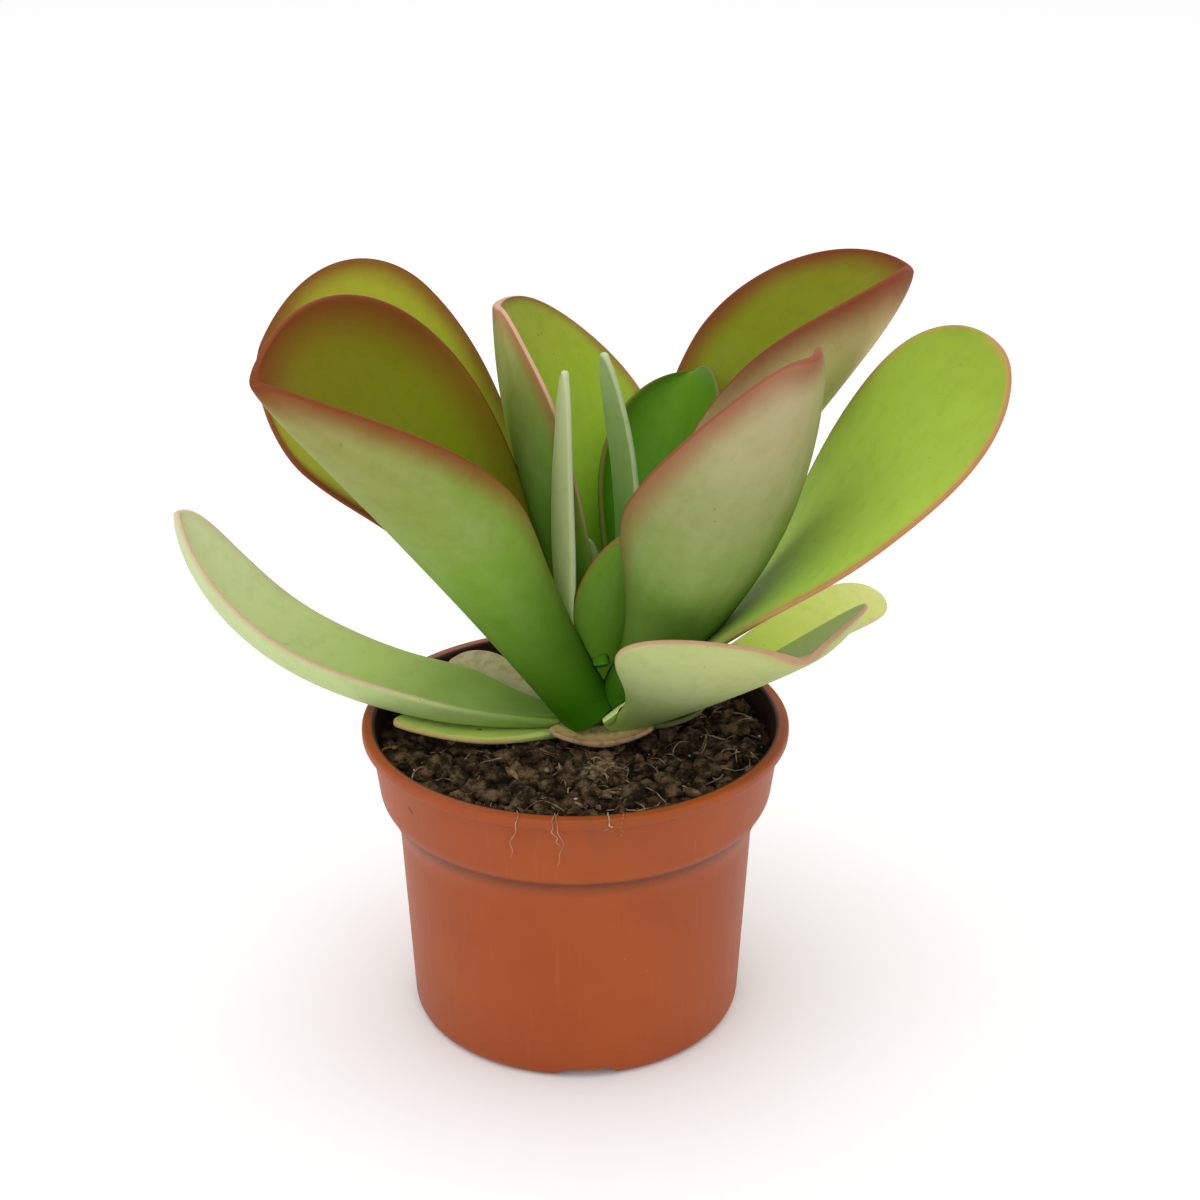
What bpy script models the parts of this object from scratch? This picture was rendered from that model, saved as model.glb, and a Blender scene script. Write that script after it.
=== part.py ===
"""Paddle plant in a round plastic nursery pot.

Units are metres and +Z is up. The pot's axis is the Z axis and its flat
underside lies on z = 0. The plant is a rosette: one short stem carries
broad, spoon-shaped leaves, every one of them an object of its own.
"""
import math

import bmesh
import bpy
import numpy as np
from mathutils.bvhtree import BVHTree

# Pot
POT_HEIGHT = 0.089
RIM_RADIUS = 0.060
LIP_WIDTH = 0.0036
LIP_DEPTH = 0.003
COLLAR_TOP_RADIUS = 0.0576
COLLAR_FOOT_RADIUS = 0.0553
COLLAR_FOOT = 0.0685
SHOULDER_FOOT = 0.058
BODY_TOP_RADIUS = 0.0502
BODY_FOOT_RADIUS = 0.0471
FOOT_ROUND = 0.003
WALL = 0.0016
FLOOR = 0.0046
POT_SIDES = 60

# Drain notches in the pot's foot
NOTCHES = 4
NOTCH_WIDTH = 0.017
NOTCH_HEIGHT = 0.003
NOTCH_INNER = 0.036
FIRST_NOTCH = -86.0

# Soil
SOIL_LEVEL = 0.0815
SOIL_RELIEF = 0.0012
SOIL_SIDES = 48

# Stem
STEM_X = 0.0065
STEM_Y = 0.0005
STEM_FOOT = 0.068
STEM_TOP = 0.097
STEM_RADIUS = 0.0048
STEM_TIP_RADIUS = 0.0034

# Leaves
GAP = 0.0003
LEAF_EDGE = 0.0011
LEAF_BLADE = 0.0020
LEAF_WIDE_EXTRA = 0.006
LEAF_FOOT_EXTRA = 0.0022
TIGHTEST_CURL = 0.7


def leaf(name, heading, swing, rise, size, neck, widest, cup, roll, foot,
         lean=0.0, tip=2.0, colour="green", grid=(14, 7)):
    """One leaf's design. Angles are in degrees and lengths in metres.

    heading: the way it points, anticlockwise from +X; swing: how far that
    turns by the tip. rise: slope at the base and the tip, and how late it
    changes. size: length and width. neck: base width as a share of the
    width. widest: where the blade is widest, as a share of the length.
    cup: how far each half curls up at the base and at the tip, lean: how
    much more of it the right half has. roll: turn about the midrib at the
    base and the tip. foot: distance from the stem's axis, and height.
    """
    return dict(name=name, heading=heading, swing=swing, rise=rise,
                length=size[0], width=size[1], neck=neck, widest=widest,
                cup=cup, roll=roll, foot=foot, lean=lean, tip=tip,
                colour=colour, grid=grid)


# From the oldest leaves at the soil to the young ones in the middle. A
# leaf that meets an earlier one is trimmed to clear it.
LEAVES = [
    leaf("leaf_front_withered", 275, 0, (8, -6, 1.0), (0.008, 0.030), 0.80,
         0.45, (30, 20), (0, 0), (0.0055, 0.0865), colour="dry",
         grid=(8, 7)),
    leaf("leaf_back_withered", 142, -5, (3, 8, 1.0), (0.050, 0.018), 0.40,
         0.75, (20, 30), (0, 8), (0.006, 0.0850), colour="dry",
         grid=(10, 5)),
    leaf("leaf_left_small", 190, -8, (-2, 14, 1.3), (0.052, 0.024), 0.32,
         0.52, (20, 13), (-4, -10), (0.006, 0.0860), grid=(12, 5)),
    leaf("leaf_right_small", 8, 0, (14, 20, 1.0), (0.026, 0.022), 0.45,
         0.55, (25, 20), (0, -10), (0.006, 0.0855), grid=(10, 5)),
    leaf("leaf_back_small", 62, 0, (10, 26, 1.0), (0.058, 0.032), 0.40,
         0.65, (30, 25), (0, 0), (0.006, 0.0860), grid=(12, 5)),
    leaf("leaf_right_low", 26, 34, (13, -18, 1.9), (0.116, 0.018), 0.38,
         0.72, (11, 4), (-6, -34), (0.006, 0.0857), tip=2.3,
         grid=(14, 5)),
    leaf("leaf_left_low", 182, -42, (3, 71, 2.6), (0.143, 0.041), 0.26,
         0.30, (31, 69), (1, 10), (0.003, 0.0876), lean=-0.7, tip=2.1,
         grid=(16, 7)),
    leaf("leaf_back_low", 124, 0, (28, 40, 1.0), (0.078, 0.046), 0.36,
         0.66, (35, 30), (0, 0), (0.006, 0.0900), grid=(12, 7)),
    leaf("leaf_front_low", 338, -32, (24, 37, 0.6), (0.072, 0.092), 0.22,
         0.68, (23, 46), (21, 0), (0.007, 0.0870), lean=0.25,
         tip=1.9, colour="pale", grid=(16, 9)),
    leaf("leaf_right_broad", 350, 6, (44, 52, 0.7), (0.149, 0.076), 0.33,
         0.66, (4, 13), (18, -26), (0.0065, 0.0900), grid=(16, 7)),
    leaf("leaf_left_back", 138, 50, (52, 31, 2.6), (0.137, 0.094), 0.22,
         0.79, (4, 37), (-16, 47), (0.007, 0.0910), lean=-0.69,
         colour="red", grid=(16, 9)),
    leaf("leaf_left_scoop", 196, 43, (55, 38, 3.0), (0.155, 0.100), 0.48,
         0.59, (128, 81), (27, 69), (0.008, 0.0900), lean=-0.64,
         tip=1.8, colour="red", grid=(16, 11)),
    leaf("leaf_back_right", 42, -28, (48, 50, 1.0), (0.143, 0.094), 0.22,
         0.66, (115, 64), (24, -22), (0.007, 0.0980), lean=0.7,
         tip=1.7, colour="red", grid=(16, 11)),
    leaf("leaf_back_left", 106, 50, (57, 86, 2.6), (0.109, 0.094), 0.50,
         0.66, (115, 37), (-21, -18), (0.007, 0.0990), lean=-0.24,
         grid=(16, 11)),
    leaf("leaf_front_right", 315, 16, (46, 84, 1.4), (0.137, 0.078), 0.25,
         0.60, (113, 43), (22, -5), (0.005, 0.0910), lean=0.31,
         tip=2.2, colour="pale", grid=(16, 9)),
    leaf("leaf_back_inner", 52, 28, (62, 42, 0.6), (0.094, 0.056), 0.24,
         0.63, (100, 76), (11, 48), (0.007, 0.0990), lean=-0.6,
         tip=1.9, grid=(14, 9)),
    leaf("leaf_front_inner", 318, 0, (86, 62, 1.0), (0.061, 0.030), 0.46,
         0.52, (56, 48), (14, 14), (0.004, 0.0940), grid=(12, 7)),
    leaf("leaf_centre_left", 208, -4, (80, 94, 0.7), (0.096, 0.013), 0.40,
         0.50, (8, 8), (0, 0), (0.007, 0.0970), colour="pale",
         grid=(14, 5)),
    leaf("leaf_centre_right", 17, 4, (75, 108, 1.0), (0.099, 0.018), 0.42,
         0.52, (24, 22), (5, -7), (0.0037, 0.0985), colour="pale",
         grid=(14, 5)),
    leaf("leaf_bud", 118, 0, (78, 88, 1.0), (0.042, 0.010), 0.50, 0.49,
         (29, 29), (0, 0), (0.0016, 0.0990), colour="pale",
         grid=(10, 5)),
]

COLOURS = {
    "pot_plastic": ((0.365, 0.093, 0.030), 0.55),
    "soil_peat": ((0.050, 0.030, 0.018), 0.95),
    "leaf_green": ((0.150, 0.270, 0.045), 0.50),
    "leaf_pale": ((0.290, 0.380, 0.200), 0.55),
    "leaf_red": ((0.190, 0.190, 0.040), 0.50),
    "leaf_dry": ((0.420, 0.330, 0.190), 0.80),
}


def clear_scene():
    """Remove every object that the scene starts with."""
    for old in list(bpy.data.objects):
        bpy.data.objects.remove(old, do_unlink=True)


def material(name):
    """A Principled BSDF with the part's colour, made once and shared."""
    found = bpy.data.materials.get(name)
    if found:
        return found
    colour, roughness = COLOURS[name]
    made = bpy.data.materials.new(name)
    made.use_nodes = True
    shader = made.node_tree.nodes["Principled BSDF"]
    shader.inputs["Base Color"].default_value = (*colour, 1.0)
    shader.inputs["Roughness"].default_value = roughness
    shader.inputs["Metallic"].default_value = 0.0
    return made


def add_object(name, points, faces, slot=None):
    """Link a closed, triangulated body with its faces pointing out."""
    mesh = bpy.data.meshes.new(name)
    mesh.from_pydata([tuple(map(float, p)) for p in points], [], faces)
    body = bmesh.new()
    body.from_mesh(mesh)
    bmesh.ops.triangulate(body, faces=body.faces[:])
    bmesh.ops.recalc_face_normals(body, faces=body.faces[:])
    if body.calc_volume(signed=True) < 0.0:
        bmesh.ops.reverse_faces(body, faces=body.faces[:])
    body.to_mesh(mesh)
    body.free()
    made = bpy.data.objects.new(name, mesh)
    bpy.context.scene.collection.objects.link(made)
    if slot:
        mesh.materials.append(material(slot))
    return made


def lathe(name, profile, sides, slot, height=None):
    """Turn a profile of (radius, z) that starts and ends on the Z axis.

    height(x, y) adds to z on the points that are marked as top points.
    """
    angles = np.arange(sides) * 2.0 * math.pi / sides
    points = []
    rings = []
    for radius, z, lifted in profile:
        start = len(points)
        if radius == 0.0:
            points.append((0.0, 0.0, z + (height(0.0, 0.0) if lifted else 0.0)))
            rings.append([start] * sides)
            continue
        for angle in angles:
            x = radius * math.cos(angle)
            y = radius * math.sin(angle)
            points.append((x, y, z + (height(x, y) if lifted else 0.0)))
        rings.append(list(range(start, start + sides)))
    faces = []
    for low, high in zip(rings, rings[1:]):
        for i in range(sides):
            j = (i + 1) % sides
            corners = [low[i], low[j], high[j], high[i]]
            face = list(dict.fromkeys(corners))
            faces.append(face)
    return add_object(name, points, faces, slot)


def cut(target, cutters):
    """Subtract the cutters, then drop the crumbs that a cut leaves loose."""
    for cutter in cutters:
        cutter.hide_render = True
        cutter.display_type = 'WIRE'
        step = target.modifiers.new("cut", 'BOOLEAN')
        step.operation = 'DIFFERENCE'
        step.solver = 'EXACT'
        step.use_self = True
        step.object = cutter
    bpy.context.view_layer.update()
    graph = bpy.context.evaluated_depsgraph_get()
    result = bpy.data.meshes.new_from_object(target.evaluated_get(graph))
    target.modifiers.clear()
    target.data = result
    for cutter in cutters:
        bpy.data.objects.remove(cutter, do_unlink=True)
    body = bmesh.new()
    body.from_mesh(result)
    bmesh.ops.dissolve_degenerate(body, dist=0.00001, edges=body.edges[:])
    bmesh.ops.triangulate(body, faces=body.faces[:])
    keep_largest(body)
    body.to_mesh(result)
    body.free()


def keep_largest(body):
    """Delete every separate island of a mesh but the one with most area."""
    body.faces.ensure_lookup_table()
    unseen = set(body.faces)
    islands = []
    while unseen:
        island = [unseen.pop()]
        for face in island:
            for edge in face.edges:
                for other in edge.link_faces:
                    if other in unseen:
                        unseen.discard(other)
                        island.append(other)
        islands.append(island)
    islands.sort(key=lambda faces: sum(face.calc_area() for face in faces))
    for island in islands[:-1]:
        bmesh.ops.delete(body, geom=island, context='FACES')


def outer_profile():
    """The pot's outside from the middle of its underside to the lip."""
    rounding = []
    for step in range(4):
        angle = math.radians(-90.0 + 30.0 * step)
        rounding.append((BODY_FOOT_RADIUS - FOOT_ROUND
                         + FOOT_ROUND * math.cos(angle),
                         FOOT_ROUND + FOOT_ROUND * math.sin(angle)))
    middle = (BODY_TOP_RADIUS + COLLAR_FOOT_RADIUS) / 2.0
    return [(0.0, 0.0)] + rounding + [
        (BODY_TOP_RADIUS, SHOULDER_FOOT - 0.002),
        (BODY_TOP_RADIUS + 0.0006, SHOULDER_FOOT + 0.0015),
        (middle, (SHOULDER_FOOT + COLLAR_FOOT) / 2.0 + 0.001),
        (COLLAR_FOOT_RADIUS - 0.0007, COLLAR_FOOT - 0.0015),
        (COLLAR_FOOT_RADIUS, COLLAR_FOOT),
        (COLLAR_TOP_RADIUS, POT_HEIGHT - LIP_DEPTH),
        (RIM_RADIUS - 0.0007, POT_HEIGHT - LIP_DEPTH),
        (RIM_RADIUS, POT_HEIGHT - LIP_DEPTH + 0.0007),
        (RIM_RADIUS, POT_HEIGHT - 0.0007),
        (RIM_RADIUS - 0.0007, POT_HEIGHT),
    ]


def inner_profile():
    """The pot's inside from the lip down to the middle of its floor."""
    middle = (BODY_TOP_RADIUS + COLLAR_FOOT_RADIUS) / 2.0
    return [
        (RIM_RADIUS - LIP_WIDTH, POT_HEIGHT),
        (COLLAR_TOP_RADIUS - WALL, POT_HEIGHT - LIP_DEPTH),
        (COLLAR_FOOT_RADIUS - WALL, COLLAR_FOOT),
        (middle - WALL, (SHOULDER_FOOT + COLLAR_FOOT) / 2.0 + 0.001),
        (BODY_TOP_RADIUS - WALL, SHOULDER_FOOT),
        (BODY_FOOT_RADIUS - WALL, FLOOR),
        (0.0, FLOOR),
    ]


def build_pot():
    """A turned pot with a thin lip, a collar, and notches in its foot."""
    profile = [(r, z, False) for r, z in outer_profile() + inner_profile()]
    pot = lathe("pot", profile, POT_SIDES, "pot_plastic")
    cutters = []
    for index in range(NOTCHES):
        turn = math.radians(FIRST_NOTCH + index * 360.0 / NOTCHES)
        cutters.append(notch_cutter(turn))
    cut(pot, cutters)
    pot.data.set_sharp_from_angle(angle=math.radians(35.0))


def notch_cutter(turn):
    """A block with sloping ends that opens one drain notch."""
    half = NOTCH_WIDTH / 2.0
    section = [(-half, -0.002), (half, -0.002), (half, NOTCH_HEIGHT * 0.4),
               (half - 0.0018, NOTCH_HEIGHT), (0.0018 - half, NOTCH_HEIGHT),
               (-half, NOTCH_HEIGHT * 0.4)]
    points = []
    for radius in (NOTCH_INNER, RIM_RADIUS):
        for across, z in section:
            points.append((radius * math.cos(turn) - across * math.sin(turn),
                           radius * math.sin(turn) + across * math.cos(turn),
                           z))
    count = len(section)
    faces = [list(range(count)), list(range(count, 2 * count))]
    for i in range(count):
        j = (i + 1) % count
        faces.append([i, j, count + j, count + i])
    return add_object("notch_cutter", points, faces)


def soil_relief(x, y):
    """Gentle lumps on the soil, and a slight fall to the right and back."""
    u = x / 0.010
    v = y / 0.010
    lumps = math.sin(1.7 * u + 0.6) * math.cos(1.3 * v - 0.4)
    lumps += 0.6 * math.sin(2.9 * v + 1.1 * u)
    fall = -0.012 * (x + 0.6 * y)
    return SOIL_RELIEF * 0.6 * lumps + fall


def build_soil():
    """The soil fills the pot, a hair inside the wall, with a stem hole."""
    room = GAP
    wall = []
    for radius, z in reversed(inner_profile()[2:-1]):
        wall.append((radius - room, max(z, FLOOR + room), False))
    edge = COLLAR_FOOT_RADIUS - WALL - room
    profile = [(0.0, FLOOR + room, False)] + wall
    profile.append((edge + 0.0009, SOIL_LEVEL - 0.004, False))
    for share in (0.985, 0.86, 0.70, 0.54, 0.38, 0.22, 0.0):
        profile.append((edge * share, SOIL_LEVEL, True))
    soil = lathe("soil", profile, SOIL_SIDES, "soil_peat", soil_relief)
    hole = tapered_rod("stem_hole", STEM_FOOT - GAP, STEM_RADIUS + GAP,
                       SOIL_LEVEL + 0.01, STEM_RADIUS + GAP, 24)
    cut(soil, [hole])


def tapered_rod(name, foot, foot_radius, top, top_radius, sides, slot=None):
    """A closed rod on the stem's axis with a rounded-off top edge."""
    rings = [(foot, foot_radius), (top - 0.001, top_radius),
             (top, top_radius * 0.7)]
    points = []
    for z, radius in rings:
        for i in range(sides):
            angle = 2.0 * math.pi * i / sides
            points.append((STEM_X + radius * math.cos(angle),
                           STEM_Y + radius * math.sin(angle), z))
    faces = [list(range(sides)), list(range(2 * sides, 3 * sides))]
    for ring in range(2):
        for i in range(sides):
            j = (i + 1) % sides
            faces.append([ring * sides + i, ring * sides + j,
                          (ring + 1) * sides + j, (ring + 1) * sides + i])
    return add_object(name, points, faces, slot)


def build_stem():
    """The short stem that stands in the soil and carries the leaves."""
    tapered_rod("stem", STEM_FOOT, STEM_RADIUS, STEM_TOP, STEM_TIP_RADIUS,
                16, "leaf_green")


def midrib(design, count):
    """Points, headings and slopes of a leaf's midrib, base to tip."""
    fine = 161
    share = np.linspace(0.0, 1.0, fine)
    low, high, ease = design["rise"]
    slope = np.radians(low + (high - low) * share ** ease)
    heading = np.radians(design["heading"] + design["swing"] * share)
    along = np.stack([np.cos(slope) * np.cos(heading),
                      np.cos(slope) * np.sin(heading),
                      np.sin(slope)], axis=-1)
    step = design["length"] / (fine - 1)
    path = np.zeros((fine, 3))
    path[1:] = np.cumsum((along[1:] + along[:-1]) * step / 2.0, axis=0)
    reach, height = design["foot"]
    start = math.radians(design["heading"])
    path += (STEM_X + reach * math.cos(start),
             STEM_Y + reach * math.sin(start), height)
    rows = 0.999 * (1.0 - (1.0 - np.linspace(0.0, 1.0, count)) ** 1.6)
    place = np.stack([np.interp(rows, share, path[:, i]) for i in range(3)],
                     axis=-1)
    return (rows, place, np.interp(rows, share, heading),
            np.interp(rows, share, slope))


def half_width(design, rows):
    """Half of the blade's width: a neck that swells, then a round tip."""
    widest = design["widest"]
    swell = np.clip(rows / widest, 0.0, 1.0)
    swell = swell * swell * (3.0 - 2.0 * swell)
    grown = design["neck"] + (1.0 - design["neck"]) * swell
    past = np.clip((rows - widest) / (1.0 - widest), 0.0, 1.0)
    close = (1.0 - past ** design["tip"]) ** (1.0 / design["tip"])
    return design["width"] / 2.0 * grown * close


def blade(design, grow):
    """Upper and lower points of a blade, each as rows by columns."""
    count, columns = design["grid"]
    rows, place, heading, slope = midrib(design, count)
    along = np.stack([np.cos(slope) * np.cos(heading),
                      np.cos(slope) * np.sin(heading), np.sin(slope)], axis=-1)
    up = np.stack([-np.sin(slope) * np.cos(heading),
                   -np.sin(slope) * np.sin(heading), np.cos(slope)], axis=-1)
    side = np.cross(along, up)
    base_roll, tip_roll = design["roll"]
    roll = np.radians(base_roll + (tip_roll - base_roll) * rows)[:, None]
    across = side * np.cos(roll) + up * np.sin(roll)
    above = up * np.cos(roll) - side * np.sin(roll)
    place[0] -= along[0] * grow
    place[-1] += along[-1] * grow
    share = np.linspace(-1.0, 1.0, columns)[None, :]
    base_cup, tip_cup = design["cup"]
    curl = np.radians(base_cup + (tip_cup - base_cup) * rows)[:, None]
    curl = curl * (1.0 + design["lean"] * np.sign(share)) + 0.0001
    half = half_width(design, rows)[:, None]
    core = (LEAF_BLADE + LEAF_WIDE_EXTRA * design["width"]
            + LEAF_FOOT_EXTRA * (1.0 - rows) ** 1.6)[:, None]
    curl = np.minimum(curl, half / (TIGHTEST_CURL * core))
    turn = curl * share * (half + grow) / half
    out = half * np.sin(turn) / curl
    lift = half * (1.0 - np.cos(turn)) / curl
    middle = (place[:, None, :] + across[:, None, :] * out[..., None]
              + above[:, None, :] * lift[..., None])
    toward = (above[:, None, :] * np.cos(turn)[..., None]
              - across[:, None, :] * np.sin(turn)[..., None])
    thick = np.maximum(core * (1.0 - 0.45 * share ** 2), LEAF_EDGE)
    offset = toward * (thick / 2.0 + grow)[..., None]
    return middle + offset, middle - offset


def leaf_body(design, grow=0.0, slot=None):
    """A leaf as a closed solid; grow makes it larger on every side."""
    upper, lower = blade(design, grow)
    count, columns = upper.shape[:2]
    points = np.concatenate([upper.reshape(-1, 3), lower.reshape(-1, 3)])
    shift = count * columns

    def at(row, column, under=0):
        return row * columns + column + under * shift

    faces = []
    for i in range(count - 1):
        for j in range(columns - 1):
            a, b = at(i, j), at(i, j + 1)
            c, d = at(i + 1, j + 1), at(i + 1, j)
            faces += [[a, b, c], [a, c, d]]
            faces += [[a + shift, c + shift, b + shift],
                      [a + shift, d + shift, c + shift]]
        last = columns - 1
        faces.append([at(i, 0, 1), at(i, 0), at(i + 1, 0), at(i + 1, 0, 1)])
        faces.append([at(i, last), at(i, last, 1), at(i + 1, last, 1),
                      at(i + 1, last)])
    for j in range(columns - 1):
        end = count - 1
        faces.append([at(0, j, 1), at(0, j + 1, 1), at(0, j + 1), at(0, j)])
        faces.append([at(end, j), at(end, j + 1), at(end, j + 1, 1),
                      at(end, j, 1)])
    return add_object(design["name"], points, faces, slot)


def tree_of(body):
    """A search tree of one object's mesh."""
    points = [vertex.co.copy() for vertex in body.data.vertices]
    faces = [tuple(face.vertices) for face in body.data.polygons]
    return BVHTree.FromPolygons(points, faces)


def build_leaves():
    """Each leaf, trimmed where it would meet the stem or an older leaf."""
    placed = []
    for design in LEAVES:
        body = leaf_body(design, slot="leaf_" + design["colour"])
        shape = tree_of(body)
        cutters = [tapered_rod("stem_room", STEM_FOOT, STEM_RADIUS + GAP,
                               STEM_TOP + GAP, STEM_TIP_RADIUS + GAP, 16)]
        if not shape.overlap(tree_of(cutters[0])):
            bpy.data.objects.remove(cutters.pop(), do_unlink=True)
        for older in placed:
            room = leaf_body(older, grow=GAP + 0.00005)
            if shape.overlap(tree_of(room)):
                cutters.append(room)
            else:
                bpy.data.objects.remove(room, do_unlink=True)
        if cutters:
            cut(body, cutters)
        body.data.shade_smooth()
        placed.append(design)


def main():
    clear_scene()
    build_pot()
    build_soil()
    build_stem()
    build_leaves()


main()
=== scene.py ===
"""Looks of a paddle plant in its nursery pot, built around the CAD frame.

Everything is in metres in the CAD's frame, +Z up. The sections are the set
and then the plant from the ground up: pot, soil, stem and leaves.
"""

import math

import bmesh
import bpy
import numpy as np
from mathutils.bvhtree import BVHTree
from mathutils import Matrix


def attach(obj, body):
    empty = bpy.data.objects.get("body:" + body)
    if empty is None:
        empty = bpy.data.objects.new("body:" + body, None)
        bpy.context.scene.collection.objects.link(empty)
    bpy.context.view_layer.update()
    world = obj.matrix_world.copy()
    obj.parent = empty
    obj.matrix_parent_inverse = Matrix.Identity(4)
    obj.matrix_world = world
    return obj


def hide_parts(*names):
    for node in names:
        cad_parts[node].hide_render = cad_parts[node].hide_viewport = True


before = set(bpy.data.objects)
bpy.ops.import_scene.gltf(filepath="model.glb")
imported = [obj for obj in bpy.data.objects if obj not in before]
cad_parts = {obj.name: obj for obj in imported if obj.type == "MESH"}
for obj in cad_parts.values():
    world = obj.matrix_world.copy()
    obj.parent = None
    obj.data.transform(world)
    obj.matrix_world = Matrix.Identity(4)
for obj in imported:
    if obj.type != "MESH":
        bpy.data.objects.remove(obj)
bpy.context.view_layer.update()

for spare in [o for o in bpy.data.objects if o.type in ("CAMERA", "LIGHT")]:
    bpy.data.objects.remove(spare, do_unlink=True)


# The set.
# A camera above the table's edge, a pale seamless floor, an even white
# surround, a large soft light from the upper left and one from above.

CAMERA_PLACE = (0.0069, -0.6024, 0.3942)
CAMERA_TILT = math.radians(65.92)
CAMERA_LENS = 71.92
SENSOR_WIDTH = 36.0
FLOOR_HALF = 6.0
SURROUND = 1.0
KEY_POWER = 3.2
KEY_SIZE = 1.6
KEY_PLACE = (-0.45, -0.70, 1.05)
TOP_POWER = 4.0
TOP_SIZE = 1.2
TOP_PLACE = (0.02, 0.25, 1.20)
LIT_POINT = (0.0, 0.0, 0.1)

camera = bpy.data.objects.new("camera", bpy.data.cameras.new("camera"))
camera.location = CAMERA_PLACE
camera.rotation_euler = (CAMERA_TILT, 0.0, 0.0)
camera.data.lens = CAMERA_LENS
camera.data.sensor_width = SENSOR_WIDTH
camera.data.clip_start = 0.01
camera.data.clip_end = 50.0
bpy.context.scene.collection.objects.link(camera)
bpy.context.scene.camera = camera

world = bpy.data.worlds.new("surround")
world.use_nodes = True
backdrop = world.node_tree.nodes["Background"]
backdrop.inputs["Color"].default_value = (1.0, 1.0, 1.0, 1.0)
backdrop.inputs["Strength"].default_value = SURROUND
bpy.context.scene.world = world
bpy.context.scene.view_settings.view_transform = "Standard"


def soft_light(name, place, power, size):
    """A square area light that points at the plant's lower leaves."""
    light = bpy.data.objects.new(name, bpy.data.lights.new(name, "AREA"))
    light.data.energy = power
    light.data.size = size
    light.location = place
    aim = np.array(LIT_POINT) - place
    light.rotation_euler = (math.atan2(math.hypot(aim[0], aim[1]), -aim[2]),
                            0.0, math.atan2(-aim[0], aim[1]))
    bpy.context.scene.collection.objects.link(light)


soft_light("key", KEY_PLACE, KEY_POWER, KEY_SIZE)
soft_light("top", TOP_PLACE, TOP_POWER, TOP_SIZE)


def add_mesh(name, points, faces, smooth=True):
    """Link a mesh made from arrays of points and of faces."""
    mesh = bpy.data.meshes.new(name)
    mesh.from_pydata(np.asarray(points, float).tolist(), [],
                     [list(map(int, face)) for face in faces])
    mesh.update()
    if smooth:
        mesh.shade_smooth()
    made = bpy.data.objects.new(name, mesh)
    bpy.context.scene.collection.objects.link(made)
    return made


def grid_faces(rows, columns, wrap=False, start=0):
    """Quads of a grid of points; with wrap the last column joins the first."""
    i = np.arange(rows - 1)[:, None]
    j = np.arange(columns if wrap else columns - 1)[None, :]
    k = (j + 1) % columns
    quads = np.stack(np.broadcast_arrays(
        i * columns + j, i * columns + k, (i + 1) * columns + k,
        (i + 1) * columns + j), axis=-1)
    return quads.reshape(-1, 4) + start


class Wire:
    """A node's output socket. Sums written with it add Math nodes."""

    def __init__(self, tree, socket=None):
        self.tree = tree
        self.socket = socket

    def node(self, kind, settings=None, inputs=None, output=0):
        """Add a node: settings first, then a value or Wire per input."""
        made = self.tree.nodes.new("ShaderNode" + kind)
        for name, value in (settings or {}).items():
            if name == "stops":
                ramp = made.color_ramp
                while len(ramp.elements) < len(value):
                    ramp.elements.new(1.0)
                for element, (place, colour) in zip(ramp.elements, value):
                    element.position = place
                    element.color = (*colour, 1.0)
            else:
                setattr(made, name, value)
        for name, value in (inputs or {}).items():
            if isinstance(value, Wire):
                self.tree.links.new(value.socket, made.inputs[name])
            elif isinstance(value, tuple) and len(value) == 3 \
                    and made.inputs[name].type == "RGBA":
                made.inputs[name].default_value = (*value, 1.0)
            else:
                made.inputs[name].default_value = value
        return Wire(self.tree, made.outputs[output])

    def math(self, operation, first, second=0.0):
        return self.node("Math", {"operation": operation},
                         {0: first, 1: second})

    def __add__(self, other):
        return self.math("ADD", self, other)

    __radd__ = __add__

    def __sub__(self, other):
        return self.math("SUBTRACT", self, other)

    def __rsub__(self, other):
        return self.math("SUBTRACT", other, self)

    def __mul__(self, other):
        return self.math("MULTIPLY", self, other)

    __rmul__ = __mul__

    def step(self, low, high):
        """0 at low and 1 at high, with a smooth rise between them."""
        return self.node("MapRange", {"interpolation_type": "SMOOTHSTEP"},
                         {"Value": self, "From Min": low, "From Max": high})

    def blend(self, first, second):
        """The first colour where this is 0 and the second where it is 1."""
        return self.node("Mix", {"data_type": "RGBA"},
                         {0: self, 6: first, 7: second}, output=2)

    def noise(self, where, scale, detail=3.0, roughness=0.5):
        """Fractal noise, 0 to 1, over a vector Wire."""
        return self.node("TexNoise", {}, {
            "Vector": where, "Scale": scale, "Detail": detail,
            "Roughness": roughness})

    def stretch(self, where, scale):
        """A vector Wire multiplied by three numbers."""
        return self.node("VectorMath", {"operation": "MULTIPLY"},
                         {0: where, 1: scale})


def start_material(name, roughness, specular):
    """A material, its shader node, and a Wire to build the nodes with."""
    made = bpy.data.materials.new(name)
    made.use_nodes = True
    shader = made.node_tree.nodes["Principled BSDF"]
    shader.inputs["Roughness"].default_value = roughness
    shader.inputs["Specular IOR Level"].default_value = specular
    return made, shader, Wire(made.node_tree)


def plug(wire, shader, name):
    """Lead a Wire into one of the shader's sockets."""
    wire.tree.links.new(wire.socket, shader.inputs[name])


def rough_skin(wire, shader, height, distance, strength=1.0):
    """A bump of that height, in metres, under the shader."""
    plug(wire.node("Bump", {}, {"Height": height, "Distance": distance,
                                "Strength": strength}), shader, "Normal")


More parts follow.
